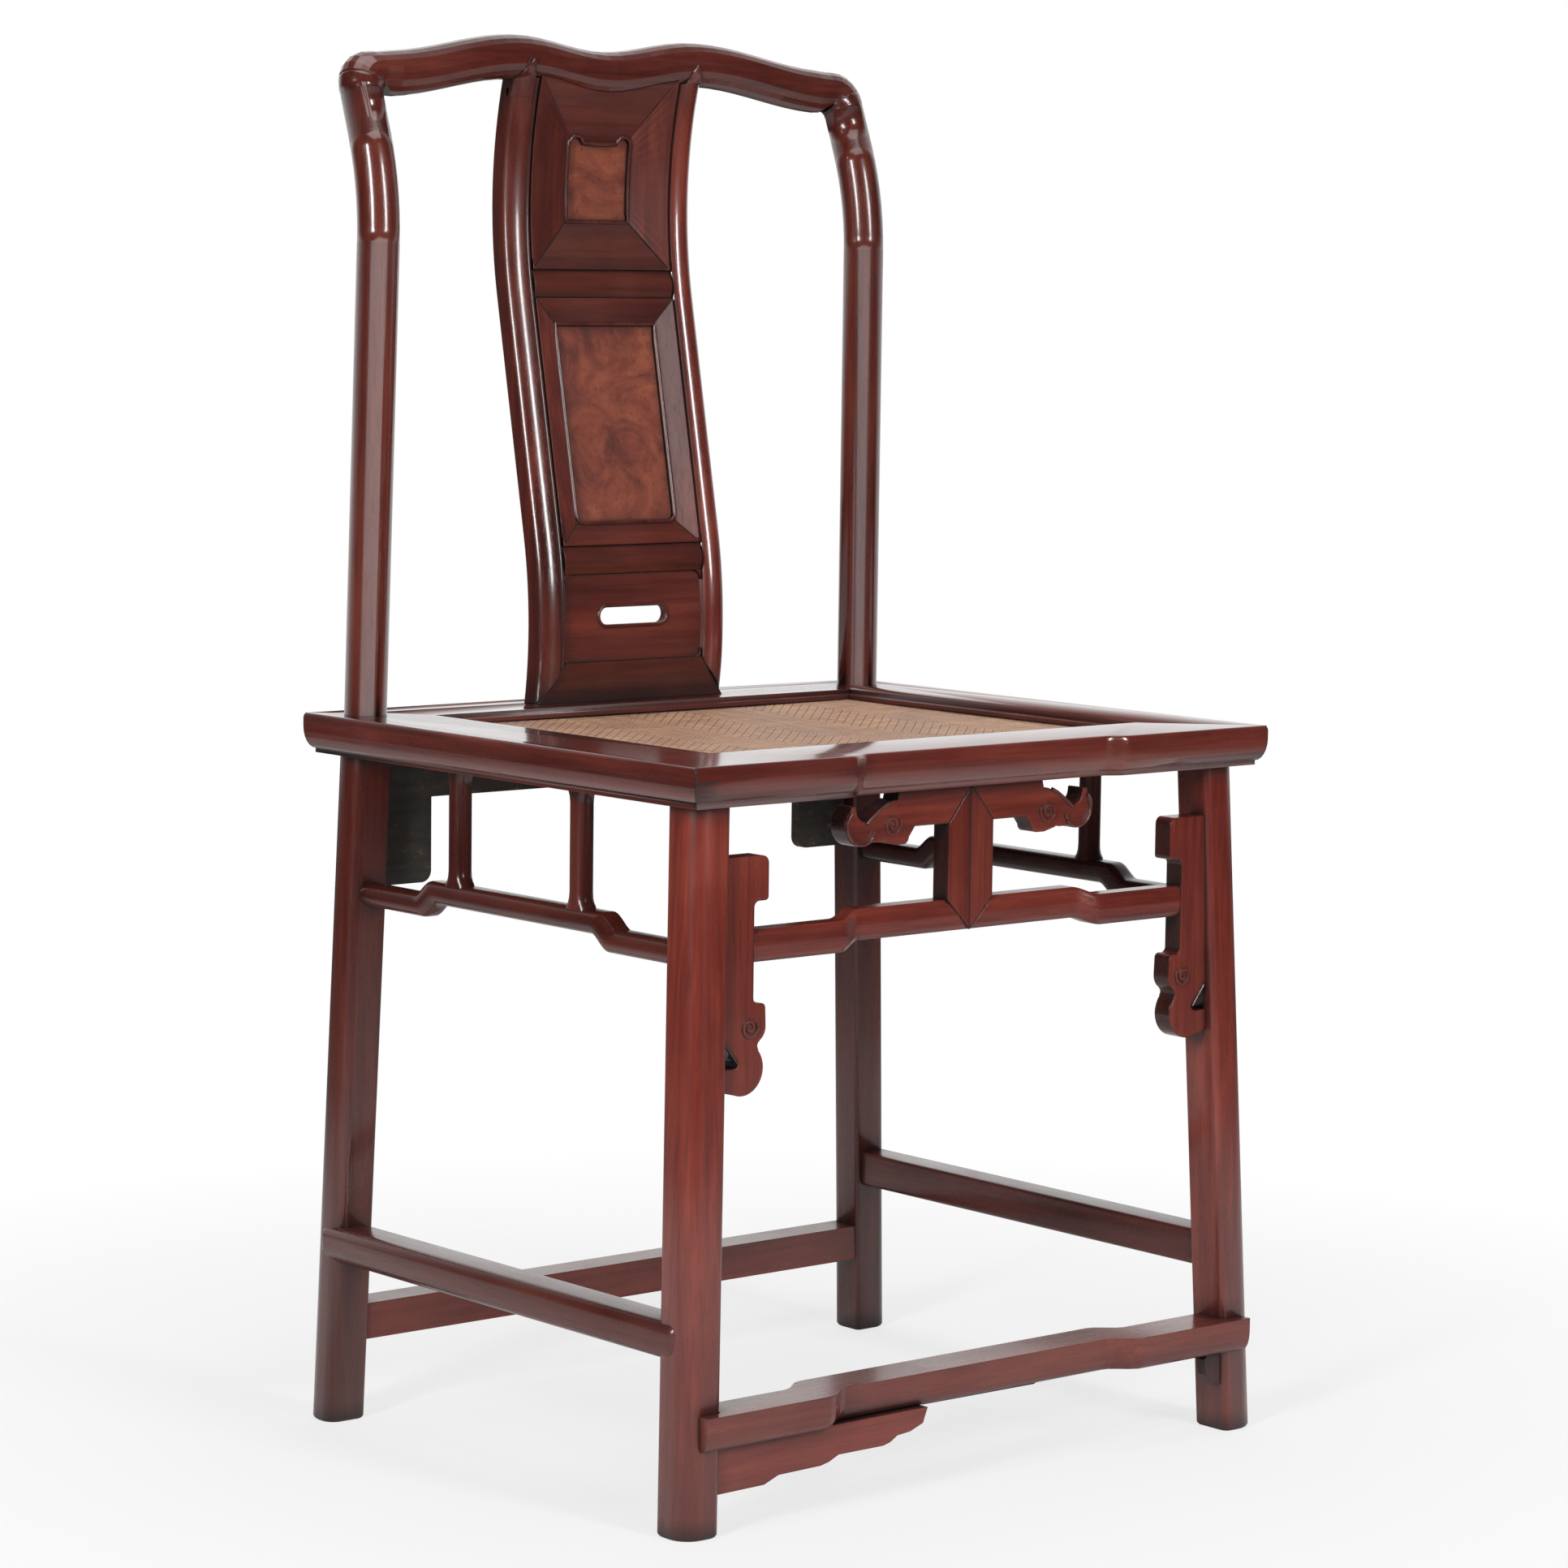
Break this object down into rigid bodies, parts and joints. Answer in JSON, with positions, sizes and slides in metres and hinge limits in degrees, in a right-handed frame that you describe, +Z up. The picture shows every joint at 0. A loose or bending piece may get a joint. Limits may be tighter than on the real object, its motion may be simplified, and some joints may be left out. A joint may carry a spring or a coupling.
{
  "type": "lamp-hanger chair",
  "caption": "Armless side chair in dark hardwood: hump-backed crest rail, S-curved framed splat with burl panels, stepped seat frame with cane mat, and scrolled openwork apron.",
  "frame": {"origin": "on the floor, under the middle of the seat frame", "axes": "+Z up; the sitter faces -Y, so the back is at +Y; -X is the sitter's right, the left in a front view"},
  "size_m": [0.5076, 0.4486, 0.9504],
  "materials": {
    "polished_hardwood": "oiled and waxed red-brown hardwood, satin to glossy",
    "dark_hardwood": "dark hardwood, rough and unwaxed",
    "burl": "mottled burl, polished",
    "cane": "fine woven cane, matt with a slight sheen",
    "palm_webbing": "woven palm fibre, rough",
    "unpolished_board": "dark, dry, unpolished board"
  },
  "bodies": {
    "root": {"front_left_leg": "polished_hardwood", "front_right_leg": "polished_hardwood", "rear_left_leg_and_post": "polished_hardwood", "rear_right_leg_and_post": "polished_hardwood", "seat_front_rail": "polished_hardwood", "seat_rear_rail": "polished_hardwood", "seat_left_rail": "polished_hardwood", "seat_right_rail": "polished_hardwood", "left_batten": "dark_hardwood", "right_batten": "dark_hardwood", "palm_webbing": "palm_webbing", "cane_seat": "cane", "cane_strip_front": "polished_hardwood", "cane_strip_rear": "polished_hardwood", "cane_strip_left": "polished_hardwood", "cane_strip_right": "polished_hardwood", "crest_rail": "polished_hardwood", "splat_left_stile": "polished_hardwood", "splat_right_stile": "polished_hardwood", "splat_upper_rail": "polished_hardwood", "splat_middle_rail": "polished_hardwood", "splat_bottom_rail": "polished_hardwood", "upper_frame_top": "polished_hardwood", "upper_frame_bottom": "polished_hardwood", "upper_frame_left": "polished_hardwood", "upper_frame_right": "polished_hardwood", "middle_frame_top": "polished_hardwood", "middle_frame_bottom": "polished_hardwood", "middle_frame_left": "polished_hardwood", "middle_frame_right": "polished_hardwood", "upper_burl_panel": "burl", "middle_burl_panel": "burl", "lower_splat_panel": "polished_hardwood", "left_side_rail": "polished_hardwood", "right_side_rail": "polished_hardwood", "left_front_strut": "polished_hardwood", "left_rear_strut": "polished_hardwood", "right_front_strut": "polished_hardwood", "right_rear_strut": "polished_hardwood", "apron_rail_left": "polished_hardwood", "apron_rail_right": "polished_hardwood", "apron_upright_left": "polished_hardwood", "apron_upright_right": "polished_hardwood", "apron_arm_left": "polished_hardwood", "apron_arm_right": "polished_hardwood", "apron_bracket_left": "polished_hardwood", "apron_bracket_right": "polished_hardwood", "rear_apron": "unpolished_board", "rear_drop_left": "unpolished_board", "rear_drop_right": "unpolished_board", "front_foot_stretcher": "polished_hardwood", "rear_stretcher": "polished_hardwood", "left_stretcher": "polished_hardwood", "right_stretcher": "polished_hardwood", "foot_apron_left_part": "polished_hardwood", "foot_apron_thin_part": "dark_hardwood", "foot_apron_right_stub": "dark_hardwood"}
  },
  "joints": []
}
